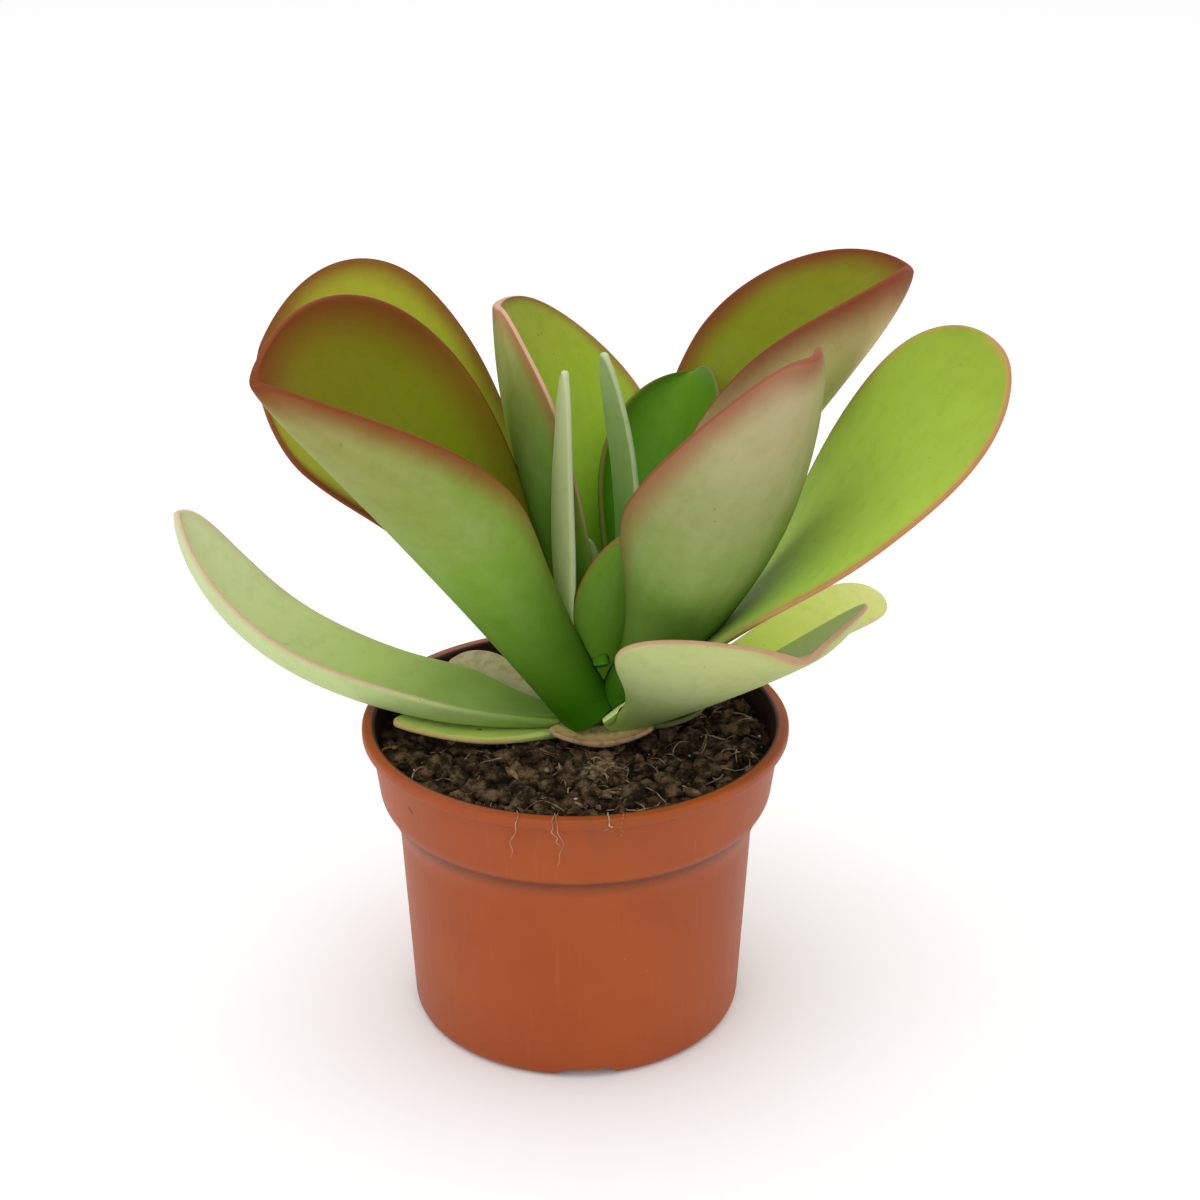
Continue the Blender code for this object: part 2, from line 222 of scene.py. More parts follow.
floor = add_mesh("floor", [(-FLOOR_HALF, -FLOOR_HALF, 0.0),
                           (FLOOR_HALF, -FLOOR_HALF, 0.0),
                           (FLOOR_HALF, FLOOR_HALF, 0.0),
                           (-FLOOR_HALF, FLOOR_HALF, 0.0)], [(0, 1, 2, 3)])
floor_paper, paper_shader, _ = start_material("floor_paper", 1.0, 0.0)
paper_shader.inputs["Base Color"].default_value = (0.93, 0.93, 0.93, 1.0)
floor.data.materials.append(floor_paper)


# The pot.
# A thin injection-moulded nursery pot of orange-brown plastic: a straight
# tapered body, a wide collar, a small rolled lip and four drain notches.

POT_HEIGHT = 0.089
RIM_RADIUS = 0.060
LIP_WIDTH = 0.0036
LIP_DEPTH = 0.003
COLLAR_TOP = 0.0576
COLLAR_FOOT = 0.0553
COLLAR_Z = 0.0685
SHOULDER_Z = 0.058
BODY_TOP = 0.0502
BODY_FOOT = 0.0471
WALL = 0.0016
POT_FLOOR = 0.0046
POT_COLUMNS = 192
NOTCH_WIDTH = 0.017
NOTCH_HEIGHT = 0.003
NOTCH_INNER = 0.036
NOTCH_SLOPE = 0.0018
NOTCHES = 4
FIRST_NOTCH = math.radians(-86.0)


def fillet(corners, steps=6):
    """Round a polyline of (radius, z, rounding).

    Each corner becomes a quadratic Bezier curve that starts and ends at
    the rounding's distance from it, but never past 0.45 of a side.
    """
    corners = np.array(corners)
    place = corners[:, :2]
    sides = np.diff(place, axis=0)
    length = np.linalg.norm(sides, axis=1)
    along = sides / length[:, None]
    reach = np.minimum(corners[1:-1, 2],
                       0.45 * np.minimum(length[:-1], length[1:]))[:, None]
    middle = place[1:-1]
    before = middle - along[:-1] * reach
    after = middle + along[1:] * reach
    share = np.linspace(0.0, 1.0, steps)[None, :, None]
    curves = ((1 - share) ** 2 * before[:, None]
              + 2 * share * (1 - share) * middle[:, None]
              + share ** 2 * after[:, None])
    return np.concatenate([place[:1], curves.reshape(-1, 2), place[-1:]])


def turned(name, profile, columns):
    """Carry a profile of (radius, z) round the Z axis; its ends are poles."""
    angle = np.arange(columns) * 2.0 * math.pi / columns
    ring = np.stack([np.cos(angle), np.sin(angle)], axis=-1)
    body = profile[1:-1]
    flat = body[:, None, :1] * ring[None]
    height = np.broadcast_to(body[:, None, 1:], flat.shape[:2] + (1,))
    points = np.concatenate([flat, height], axis=-1).reshape(-1, 3)
    points = np.concatenate([points, [(0.0, 0.0, profile[0, 1]),
                                      (0.0, 0.0, profile[-1, 1])]])
    quads = grid_faces(len(body), columns, wrap=True)
    here = np.arange(columns)
    there = (here + 1) % columns
    last = (len(body) - 1) * columns
    foot = np.full(columns, len(points) - 2)
    head = np.full(columns, len(points) - 1)
    faces = (quads.tolist() + np.stack([foot, there, here], -1).tolist()
             + np.stack([head, last + here, last + there], -1).tolist())
    return add_mesh(name, points, faces)


def drop_crumbs(mesh):
    """Keep a mesh's largest connected piece.

    Every vertex takes the lowest number found among its neighbours,
    again and again, until each piece carries one number.
    """
    pairs = np.empty(len(mesh.edges) * 2, int)
    mesh.edges.foreach_get("vertices", pairs)
    pairs = pairs.reshape(-1, 2)
    label = np.arange(len(mesh.vertices))
    settled = False
    while not settled:
        lowest = label[pairs].min(axis=1)
        spread = label.copy()
        np.minimum.at(spread, pairs[:, 0], lowest)
        np.minimum.at(spread, pairs[:, 1], lowest)
        spread = spread[spread]
        settled = bool((spread == label).all())
        label = spread
    loose = np.flatnonzero(label != np.bincount(label).argmax())
    if len(loose):
        body = bmesh.new()
        body.from_mesh(mesh)
        body.verts.ensure_lookup_table()
        bmesh.ops.delete(body, geom=[body.verts[i] for i in loose],
                         context="VERTS")
        body.to_mesh(mesh)
        body.free()


def carve(target, cutters, sharp):
    """Subtract closed meshes, and keep the edges over that angle crisp."""
    for cutter in cutters:
        step = target.modifiers.new("carve", "BOOLEAN")
        step.operation = "DIFFERENCE"
        step.solver = "MANIFOLD"
        step.object = cutter
    graph = bpy.context.evaluated_depsgraph_get()
    result = bpy.data.meshes.new_from_object(target.evaluated_get(graph))
    target.modifiers.clear()
    target.data = result
    for cutter in cutters:
        bpy.data.objects.remove(cutter, do_unlink=True)
    drop_crumbs(result)
    result.shade_smooth()
    result.set_sharp_from_angle(angle=math.radians(sharp))


step_radius = (BODY_TOP + COLLAR_FOOT) / 2.0
step_z = (SHOULDER_Z + COLLAR_Z) / 2.0 + 0.001
lip_z = POT_HEIGHT - LIP_DEPTH
pot_profile = fillet([
    (0.0, 0.0, 0.0), (BODY_FOOT, 0.0, 0.0036), (BODY_TOP, SHOULDER_Z, 0.0030),
    (step_radius, step_z, 0.0020), (COLLAR_FOOT, COLLAR_Z, 0.0018),
    (COLLAR_TOP, lip_z, 0.0006), (RIM_RADIUS, lip_z, 0.0010),
    (RIM_RADIUS, POT_HEIGHT, 0.0011),
    (RIM_RADIUS - LIP_WIDTH, POT_HEIGHT, 0.0008),
    (COLLAR_TOP - WALL, lip_z, 0.0008),
    (COLLAR_FOOT - WALL, COLLAR_Z, 0.0018),
    (step_radius - WALL, step_z, 0.0020),
    (BODY_TOP - WALL, SHOULDER_Z, 0.0030),
    (BODY_FOOT - WALL, POT_FLOOR, 0.0020), (0.0, POT_FLOOR, 0.0)])
pot = turned("pot_moulding", pot_profile, POT_COLUMNS)

half_notch = NOTCH_WIDTH / 2.0
half_crown = half_notch - NOTCH_SLOPE
notch_outline = np.array([
    (-half_notch, -0.002), (half_notch, -0.002),
    (half_notch, NOTCH_HEIGHT * 0.4), (half_crown, NOTCH_HEIGHT),
    (-half_crown, NOTCH_HEIGHT), (-half_notch, NOTCH_HEIGHT * 0.4)])
corners = len(notch_outline)
notches = []
for turn in FIRST_NOTCH + np.arange(NOTCHES) * 2.0 * math.pi / NOTCHES:
    ahead = np.array([math.cos(turn), math.sin(turn), 0.0])
    sideways = np.array([-math.sin(turn), math.cos(turn), 0.0])
    upright = np.array([0.0, 0.0, 1.0])
    section = (notch_outline[:, :1] * sideways
               + notch_outline[:, 1:] * upright)
    block = np.concatenate([section + ahead * NOTCH_INNER,
                            section + ahead * RIM_RADIUS])
    caps = [list(range(corners))[::-1], list(range(corners, 2 * corners))]
    sides = grid_faces(2, corners, wrap=True).tolist()
    notches.append(add_mesh("notch", block, caps + sides, smooth=False))
carve(pot, notches, 34.0)

pot_plastic, pot_shader, wire = start_material("pot_plastic", 0.45, 0.30)
where = wire.node("TexCoord", output=3)
high = wire.node("SeparateXYZ", {}, {0: where}, output=2)
cloud = wire.noise(where, 28.0, 3.0)
drawn = wire.noise(wire.stretch(where, (420.0, 420.0, 18.0)), 1.0, 2.0)
dust = wire.noise(where, 900.0, 2.0, 0.7)
tone = cloud.step(0.30, 0.72).blend((0.305, 0.053, 0.004),
                                    (0.345, 0.065, 0.006))
tone = (drawn.step(0.62, 0.80) * 0.22).blend(tone, (0.45, 0.115, 0.03))
speck = dust.step(0.74, 0.80) * cloud.step(0.45, 0.6) * 0.6
tone = speck.blend(tone, (0.56, 0.30, 0.17))
mud = (high.step(0.070, 0.0885) * wire.noise(where, 130.0, 4.0, 0.65)
       .step(0.50, 0.68) * 0.35)
tone = mud.blend(tone, (0.16, 0.06, 0.022))
from_axis = wire.node("VectorMath", {"operation": "LENGTH"},
                      {0: wire.stretch(where, (1.0, 1.0, 0.0))}, output=1)
# Painted shade: the inside of the collar, from above the soil up to the lip,
# is darkened to near black.
collar_slope = (COLLAR_TOP - COLLAR_FOOT) / (lip_z - COLLAR_Z)
collar_face = COLLAR_FOOT + (high - COLLAR_Z) * collar_slope
inner_wall_painted_shade = ((from_axis - collar_face).step(-0.0004, -0.0012)
          * high.step(0.060, 0.070))
tone = (inner_wall_painted_shade * 0.95).blend(tone, (0.022, 0.009, 0.004))
# Painted shade: the back wall and ceiling of each drain notch are darkened to
# grey.
notch_painted_shade = (from_axis.step(0.0400, 0.0368) * high.step(0.0001, 0.0005)
          * high.step(0.0036, 0.0032))
tone = notch_painted_shade.blend(tone, (0.030, 0.029, 0.029))


def scratch(start, end, width):
    """1 on a short line on the pot, from its two ends and its width."""
    start = np.array(start)
    span = np.array(end) - start
    offset = wire.node("VectorMath", {"operation": "SUBTRACT"},
                       {0: where, 1: tuple(start)})
    along = wire.node("VectorMath", {"operation": "DOT_PRODUCT"},
                      {0: offset, 1: tuple(span / (span @ span))}, output=1)
    along = wire.math("MINIMUM", wire.math("MAXIMUM", along, 0.0), 1.0)
    nearest = wire.node("VectorMath", {"operation": "SCALE"},
                        {0: tuple(span), "Scale": along})
    gap = wire.node("VectorMath", {"operation": "DISTANCE"},
                    {0: offset, 1: nearest}, output=1)
    return gap.step(width, width * 0.35)


scuffs = (scratch((0.0182, -0.0480, 0.0672), (0.0262, -0.0440, 0.0680),
                  0.0006)
          + scratch((0.0300, -0.0466, 0.0735), (0.0350, -0.0430, 0.0742),
                    0.0005)
          + scratch((-0.0250, -0.0515, 0.0775), (-0.0246, -0.0517, 0.0778),
                    0.0008))
tone = (scuffs * drawn.step(0.25, 0.5) * 0.55).blend(tone,
                                                     (0.60, 0.28, 0.16))
tick = scratch((-0.0447, -0.0352, 0.0790), (-0.0440, -0.0360, 0.0783),
               0.0009)
tone = (tick * 0.8).blend(tone, (0.05, 0.03, 0.02))
plug(tone, pot_shader, "Base Color")
plug(0.36 + 0.16 * cloud + 0.10 * drawn, pot_shader, "Roughness")
rough_skin(wire, pot_shader, 0.6 * dust + 0.8 * drawn, 0.00006)
pot.data.materials.clear()
pot.data.materials.append(pot_plastic)
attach(pot, "root")
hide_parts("pot")


# The soil.
# Moist peat potting soil with soft clods, crumbs, bits of bark, white
# perlite and root fibres. It fills the pot to just under the collar's lip.

SOIL_LEVEL = 0.0815
SOIL_EDGE = 0.0552
SOIL_RINGS = 130
SOIL_COLUMNS = 360
STEM_X = 0.0065
STEM_Y = 0.0005
STEM_RADIUS = 0.0048
HAIR = 0.0003
CLODS = 420
LATTICE = 64
chance = np.random.default_rng(7)

clod_place = chance.uniform(-0.056, 0.056, (CLODS, 2))
clod_size = chance.uniform(0.0020, 0.0070, CLODS)
clod_rise = chance.uniform(0.20, 0.55, CLODS) * clod_size
lattice = chance.uniform(-1.0, 1.0, (LATTICE, LATTICE))


def lumpy(x, y, spacing):
    """Smooth value noise, -1 to 1: lattice values blended across cells."""
    u = x / spacing + 17.0
    v = y / spacing + 29.0
    i = np.floor(u).astype(int)
    j = np.floor(v).astype(int)
    fu = (u - i) ** 2 * (3.0 - 2.0 * (u - i))
    fv = (v - j) ** 2 * (3.0 - 2.0 * (v - j))
    left = i % LATTICE
    right = (i + 1) % LATTICE
    near = j % LATTICE
    far = (j + 1) % LATTICE
    low = lattice[left, near] * (1 - fu) + lattice[right, near] * fu
    top = lattice[left, far] * (1 - fu) + lattice[right, far] * fu
    return low * (1 - fv) + top * fv


def soil_height(x, y):
    """Height of the soil: slow waves, round clods, and grain.

    A clod is the cap of an ellipsoid, and the highest one at a point
    counts. The soil dips beside the wall and where the stem comes out.
    """
    u = x / 0.010
    v = y / 0.010
    waves = (np.sin(1.7 * u + 0.6) * np.cos(1.3 * v - 0.4)
             + 0.6 * np.sin(2.9 * v + 1.1 * u))
    fall = -0.012 * (x + 0.6 * y)
    away = ((x[..., None] - clod_place[:, 0]) ** 2
            + (y[..., None] - clod_place[:, 1]) ** 2) / clod_size ** 2
    caps = (np.sqrt(np.clip(1.0 - away, 0.0, 1.0)) * clod_rise).max(-1)
    grain = (0.00045 * lumpy(x, y, 0.0017) + 0.0003 * lumpy(y, x, 0.0008)
             + 0.0006 * lumpy(x, y, 0.0041))
    radius = np.hypot(x, y)
    inside = np.clip((SOIL_EDGE - radius) / 0.004, 0.0, 1.0)
    from_stem = np.hypot(x - STEM_X, y - STEM_Y)
    hole = np.clip(1.0 - (from_stem - STEM_RADIUS) / 0.0012, 0.0, 1.0)
    return (SOIL_LEVEL - 0.0004 + 0.0007 * waves + fall
            + (caps + grain) * (0.35 + 0.65 * inside) - 0.007 * hole ** 2)


ring_share = np.linspace(1.0, 0.0, SOIL_RINGS + 1)[:-1] ** 0.9
ring_angle = np.arange(SOIL_COLUMNS) * 2.0 * math.pi / SOIL_COLUMNS
wall_profile = np.array([(0.0455, POT_FLOOR + HAIR), (0.0451, 0.010),
                         (0.0481, 0.056), (0.0508, 0.0643),
                         (0.0533, 0.0685), (SOIL_EDGE - 0.0006, 0.0775)])
soil_radius = np.concatenate([wall_profile[:, 0], SOIL_EDGE * ring_share])
soil_x = soil_radius[:, None] * np.cos(ring_angle)
soil_y = soil_radius[:, None] * np.sin(ring_angle)
soil_z = np.broadcast_to(np.concatenate(
    [wall_profile[:, 1], ring_share * 0.0])[:, None], soil_x.shape).copy()
top_rows = len(wall_profile)
soil_z[top_rows:] = soil_height(soil_x[top_rows:], soil_y[top_rows:])
soil_points = np.stack([soil_x, soil_y, soil_z], -1).reshape(-1, 3)
centre_top = float(soil_height(np.zeros(1), np.zeros(1))[0])
soil_points = np.concatenate([soil_points, [(0, 0, POT_FLOOR + HAIR),
                                            (0, 0, centre_top)]])
count = len(soil_points)
ring = np.arange(SOIL_COLUMNS)
after = (ring + 1) % SOIL_COLUMNS
last = count - 2 - SOIL_COLUMNS
soil_faces = (grid_faces(len(soil_radius), SOIL_COLUMNS, True).tolist()
              + np.stack([np.full(SOIL_COLUMNS, count - 2), after, ring],
                         -1).tolist()
              + np.stack([np.full(SOIL_COLUMNS, count - 1), last + ring,
                          last + after], -1).tolist())
soil = add_mesh("soil_bed", soil_points, soil_faces)


def soil_paint(name, dark, light, roughness=0.95):
    """Crumbly earth: dark and light tones by fractal noise, and a bump."""
    made, shader, wire = start_material(name, roughness, 0.12)
    where = wire.node("TexCoord", output=3)
    lumps = wire.noise(where, 230.0, 6.0, 0.72)
    grains = wire.noise(where, 1500.0, 4.0, 0.75)
    tone = lumps.step(0.42, 0.64).blend(dark, light)
    tone = (grains.step(0.62, 0.72) * 0.5).blend(
        tone, (0.17, 0.105, 0.05))
    # Painted shade: near-black specks, where the fine grain noise is low, for
    # the shade in the crevices between grains.
    tone = ((1.0 - grains.step(0.32, 0.46)) * 0.9).blend(
        tone, (0.006, 0.004, 0.002))
    plug(tone, shader, "Base Color")
    rough_skin(wire, shader, lumps + 0.5 * grains, 0.0011)
    return made


soil.data.materials.append(soil_paint(
    "soil_peat", (0.007, 0.004, 0.002), (0.120, 0.074, 0.037)))
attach(soil, "root")
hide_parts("soil")


def spots(number, reach=0.0525):
    """Random points on the soil's disc, clear of the stem."""
    angle = chance.uniform(0.0, 2.0 * math.pi, number)
    radius = reach * np.sqrt(chance.uniform(0.0, 1.0, number))
    x = radius * np.cos(angle)
    y = radius * np.sin(angle)
    near = np.hypot(x - STEM_X, y - STEM_Y) < 0.007
    return np.where(near, x + 0.014, x), y


def crumbs(name, x, y, size, stretch, bury=0.25, sides=2):
    """Rough lumps on the soil at x, y.

    Each is a ball of a few dozen faces whose points move in and out by
    up to a third, stretched along one axis, turned at random and set
    into the soil by a share of its size.
    """
    ball = bmesh.new()
    bmesh.ops.create_icosphere(ball, subdivisions=sides, radius=1.0)
    shape = np.array([v.co for v in ball.verts])
    faces = np.array([[v.index for v in f.verts] for f in ball.faces])
    ball.free()
    number = len(x)
    bumps = 1.0 + chance.uniform(-0.33, 0.33, (number, len(shape), 1))
    scale = np.stack([chance.uniform(*stretch, number),
                      chance.uniform(0.7, 1.0, number),
                      chance.uniform(0.5, 0.9, number)], -1)
    lump = shape[None] * bumps * scale[:, None, :] * size[:, None, None]
    turn = chance.uniform(0.0, 2.0 * math.pi, (2, number, 1))
    lean = turn[1] * 0.12 - 0.35
    px = lump[..., 0] * np.cos(lean) - lump[..., 2] * np.sin(lean)
    pz = lump[..., 0] * np.sin(lean) + lump[..., 2] * np.cos(lean)
    qx = px * np.cos(turn[0]) - lump[..., 1] * np.sin(turn[0])
    qy = px * np.sin(turn[0]) + lump[..., 1] * np.cos(turn[0])
    rest = soil_height(x, y) + size * (0.55 - bury)
    points = np.stack([qx + x[:, None], qy + y[:, None],
                       pz + rest[:, None]], -1).reshape(-1, 3)
    shift = np.arange(number)[:, None, None] * len(shape)
    return add_mesh(name, points, (faces[None] + shift).reshape(-1, 3))


CRUMBS = 760
crumb_x, crumb_y = spots(CRUMBS)
loose = crumbs("soil_crumbs", crumb_x, crumb_y,
               0.0005 + 0.0026 * chance.uniform(0, 1, CRUMBS) ** 2.0,
               (1.0, 1.5))
loose.data.materials.append(soil_paint(
    "crumb_peat", (0.024, 0.014, 0.006), (0.190, 0.120, 0.062)))

BARK_BITS = 90
bark_x, bark_y = spots(BARK_BITS)
bark = crumbs("soil_bark", bark_x, bark_y,
              chance.uniform(0.0006, 0.0013, BARK_BITS), (1.8, 3.4), 0.15)
bark.data.materials.append(soil_paint(
    "bark_bits", (0.13, 0.080, 0.040), (0.36, 0.25, 0.14)))

GRIT_BITS = 60
grit_x, grit_y = spots(GRIT_BITS)
grit = crumbs("soil_perlite", grit_x, grit_y,
              chance.uniform(0.00022, 0.0006, GRIT_BITS), (0.9, 1.2), 0.1, 1)
grit_paint, grit_shader, wire = start_material("perlite", 0.9, 0.2)
plug(wire.noise(wire.node("TexCoord", output=3), 900.0).step(0.3, 0.7)
     .blend((0.42, 0.36, 0.27), (0.72, 0.68, 0.58)), grit_shader,
     "Base Color")
grit.data.materials.append(grit_paint)


def tubes(name, paths, radius, sides=5):
    """Thin round threads along paths of shape (threads, points, 3).

    Rings stand square to each path; the radius tapers to a third at the
    ends, and both ends are closed by a fan.
    """
    threads, length = paths.shape[:2]
    along = np.gradient(paths, axis=1)
    along /= np.linalg.norm(along, axis=-1, keepdims=True) + 1e-12
    helper = np.where(np.abs(along[..., 2:]) > 0.8, (1.0, 0.0, 0.0),
                      (0.0, 0.0, 1.0))
    first = np.cross(along, helper)
    first /= np.linalg.norm(first, axis=-1, keepdims=True)
    second = np.cross(along, first)
    turn = np.arange(sides) * 2.0 * math.pi / sides
    share = np.linspace(-1.0, 1.0, length)
    taper = (1.0 - 0.67 * share ** 6)[None, :, None, None]
    reach = radius[:, None, None, None] * taper
    ring = (first[:, :, None] * np.cos(turn)[:, None]
            + second[:, :, None] * np.sin(turn)[:, None])
    points = paths[:, :, None] + ring * reach
    block = length * sides
    shift = (np.arange(threads) * (block + 2))[:, None, None]
    quads = (grid_faces(length, sides, True)[None] + shift).reshape(-1, 4)
    here = np.arange(sides)
    there = (here + 1) % sides
    foot = np.stack([np.full(sides, block), there, here], -1)
    head = np.stack([np.full(sides, block + 1), block - sides + here,
                     block - sides + there], -1)
    fans = (np.concatenate([foot, head])[None] + shift).reshape(-1, 3)
    points = np.concatenate([points.reshape(threads, block, 3),
                             paths[:, :1], paths[:, -1:]], axis=1)
    made = add_mesh(name, points.reshape(-1, 3),
                    quads.tolist() + fans.tolist())
    fix = bmesh.new()
    fix.from_mesh(made.data)
    bmesh.ops.recalc_face_normals(fix, faces=fix.faces[:])
    fix.to_mesh(made.data)
    fix.free()
    return made


def strewn(x, y, length, lift):
    """Curved paths that lie on the soil and arch off it a little."""
    number = len(x)
    share = np.linspace(-1.0, 1.0, 11)[None]
    angle = chance.uniform(0.0, 2.0 * math.pi, (number, 1))
    bend = chance.uniform(-0.9, 0.9, (number, 1))
    far = length[:, None] / 2.0 * share
    side = bend * length[:, None] * 0.35 * share ** 2
    px = x[:, None] + far * np.cos(angle) - side * np.sin(angle)
    py = y[:, None] + far * np.sin(angle) + side * np.cos(angle)
    out = np.maximum(np.hypot(px, py) / 0.0545, 1.0)
    px = px / out
    py = py / out
    lie = soil_height(px, py) * 0.35 + soil_height(x, y)[:, None] * 0.65
    pz = lie + 0.0003 + lift[:, None] * (1.0 - share ** 2)
    return np.stack([px, py, pz], -1)


CLUMP_X = 0.0042
CLUMP_Y = -0.0210
FIBRES = 150
CLUMP_FIBRES = 46
ALL_FIBRES = FIBRES + CLUMP_FIBRES
fibre_x, fibre_y = spots(FIBRES)
clump_x = CLUMP_X + chance.normal(0.0, 0.0050, CLUMP_FIBRES)
clump_y = CLUMP_Y + chance.normal(0.0, 0.0032, CLUMP_FIBRES)
fibre_x = np.concatenate([fibre_x, clump_x])
fibre_y = np.concatenate([fibre_y, clump_y])
fibres = tubes("soil_fibres", strewn(
    fibre_x, fibre_y, chance.uniform(0.004, 0.013, ALL_FIBRES),
    chance.uniform(0.0, 0.0016, ALL_FIBRES)),
    chance.uniform(0.00008, 0.00022, ALL_FIBRES))


def thread_paint(name, dark, light):
    """Dry plant fibre in two tones."""
    made, shader, wire = start_material(name, 0.85, 0.1)
    where = wire.node("TexCoord", output=3)
    plug(wire.noise(where, 260.0, 3.0).step(0.35, 0.65).blend(dark, light),
         shader, "Base Color")
    rough_skin(wire, shader, wire.noise(where, 2400.0), 0.0001)
    return made


fibres.data.materials.append(thread_paint(
    "root_fibre", (0.12, 0.075, 0.038), (0.44, 0.32, 0.20)))

CLUMP_CRUMBS = 70
lint = crumbs("soil_clump", CLUMP_X + chance.normal(0.0, 0.0052, CLUMP_CRUMBS),
              CLUMP_Y + chance.normal(0.0, 0.0030, CLUMP_CRUMBS),
              chance.uniform(0.0005, 0.0017, CLUMP_CRUMBS), (1.2, 2.2), 0.1)
lint.data.materials.append(soil_paint(
    "clump_peat", (0.075, 0.047, 0.024), (0.34, 0.24, 0.135)))


# Five pale roots have been pulled over the lip and hang down the collar.
def hanging(x, drop, sway, seed):
    """A root: up from the soil, over the lip, then down with a sway."""
    front = -math.sqrt(RIM_RADIUS ** 2 - x ** 2)
    u = np.linspace(0.0, 1.0, 26)
    knots = np.array([0.0, 0.16, 0.28, 0.36, 0.44, 1.0])
    y = np.interp(u, knots, [front + 0.010, front + 0.0052,
                             front + 0.0016, front - 0.0004,
                             front - 0.0006, front + 0.0018])
    z = np.interp(u, knots, [SOIL_LEVEL + 0.0012, POT_HEIGHT - 0.0006,
                               POT_HEIGHT + 0.0004, POT_HEIGHT + 0.0001,
                               POT_HEIGHT - 0.0012, POT_HEIGHT - drop])
    swing = sway * np.sin(u * (5.0 + seed) + seed) * u
    curl = 0.0006 * np.sin(u * 23.0 + seed * 2.0) * u
    return np.stack([x + swing + curl, y, z], -1)


threads = np.stack([hanging(-0.0150, 0.0135, 0.0018, 0.4),
                    hanging(-0.0050, 0.0085, 0.0012, 1.7),
                    hanging(-0.0040, 0.0150, 0.0016, 2.6),
                    hanging(0.0092, 0.0040, 0.0010, 3.3),
                    hanging(0.0128, 0.0060, 0.0007, 0.9)])
roots = tubes("hanging_roots", threads,
              np.array([0.00013, 0.00016, 0.00012, 0.00022, 0.00010]))
roots.data.materials.append(thread_paint(
    "pale_root", (0.27, 0.155, 0.085), (0.46, 0.31, 0.19)))

for piece in (loose, bark, grit, fibres, lint, roots):
    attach(piece, "root")


# The stem.
# A short fleshy stem, hidden by the leaves' bases. It stands in a hole in
# the soil and shows rings where old leaves have dropped.

STEM_FOOT = 0.068
STEM_TOP = 0.097
STEM_TIP = 0.0034

stem_share = np.linspace(0.0, 1.0, 40)
rings = 1.0 - 0.035 * (0.5 + 0.5 * np.cos(stem_share * 44.0))
stem_radius = (STEM_RADIUS + (STEM_TIP - STEM_RADIUS) * stem_share) * rings
stem_z = STEM_FOOT + (STEM_TOP - 0.0008 - STEM_FOOT) * stem_share
stem_profile = np.concatenate([
    [(0.0, STEM_FOOT)], np.stack([stem_radius, stem_z], -1),
    [(STEM_TIP * 0.7, STEM_TOP), (0.0, STEM_TOP)]])
stem = turned("stem_core", stem_profile, 48)
stem_points = np.empty(len(stem.data.vertices) * 3)
stem.data.vertices.foreach_get("co", stem_points)
stem_points = stem_points.reshape(-1, 3) + (STEM_X, STEM_Y, 0.0)
stem.data.vertices.foreach_set("co", stem_points.ravel())
stem_skin, stem_shader, wire = start_material("stem_skin", 0.6, 0.2)
where = wire.node("TexCoord", output=3)
bands = wire.noise(wire.stretch(where, (120.0, 120.0, 900.0)), 1.0, 3.0)
plug(bands.step(0.35, 0.7).blend((0.12, 0.19, 0.04), (0.30, 0.24, 0.11)),
     stem_shader, "Base Color")
rough_skin(wire, stem_shader, bands, 0.0003)
stem.data.materials.append(stem_skin)
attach(stem, "root")
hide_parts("stem")


# The leaves.
# Thick, smooth succulent leaves like spoons or shells, with a powdery
# bloom and sun-reddened margins. Each grows from the stem on its own.

LEAF_ROWS = 84
LEAF_COLUMNS = 33
ROOM_ROWS = 46
ROOM_COLUMNS = 17
ROOM_GROWTH = 0.00035
LEAF_EDGE = 0.0011
LEAF_BLADE = 0.0020
LEAF_WIDE_EXTRA = 0.006
LEAF_FOOT_EXTRA = 0.0022
TIGHTEST_CURL = 0.7


def midrib(design, count):
    """Points, headings, slopes of a midrib: slope and heading run from
    base to tip, and their unit vectors are summed along the length."""
    share = np.linspace(0.0, 1.0, 161)
    low, high, ease = design["rise"]
    slope = np.radians(low + (high - low) * share ** ease)
    heading = np.radians(design["heading"] + design["swing"] * share)
    along = np.stack([np.cos(slope) * np.cos(heading),
                      np.cos(slope) * np.sin(heading), np.sin(slope)], -1)
    path = np.zeros((161, 3))
    path[1:] = np.cumsum((along[1:] + along[:-1]) / 2.0, axis=0)
    path *= design["size"][0] / 160.0
    reach, height = design["foot"]
    start = math.radians(design["heading"])
    path += (STEM_X + reach * math.cos(start),
             STEM_Y + reach * math.sin(start), height)
    rows = 1.0 - (1.0 - np.linspace(0.0, 1.0, count)) ** 1.6
    rows[-1] = 0.99995
    place = np.stack([np.interp(rows, share, path[:, i]) for i in range(3)],
                     -1)
    return (rows, place, np.interp(rows, share, heading),
            np.interp(rows, share, slope))


def half_width(design, rows):
    """A neck that swells as a smoothstep, then a superelliptic tip."""
    widest = design["widest"]
    swell = np.clip(rows / widest, 0.0, 1.0)
    swell = swell * swell * (3.0 - 2.0 * swell)
    grown = design["neck"] + (1.0 - design["neck"]) * swell
    past = np.clip((rows - widest) / (1.0 - widest), 0.0, 1.0)
    close = (1.0 - past ** design["tip"]) ** (1.0 / design["tip"])
    return design["size"][1] / 2.0 * grown * close


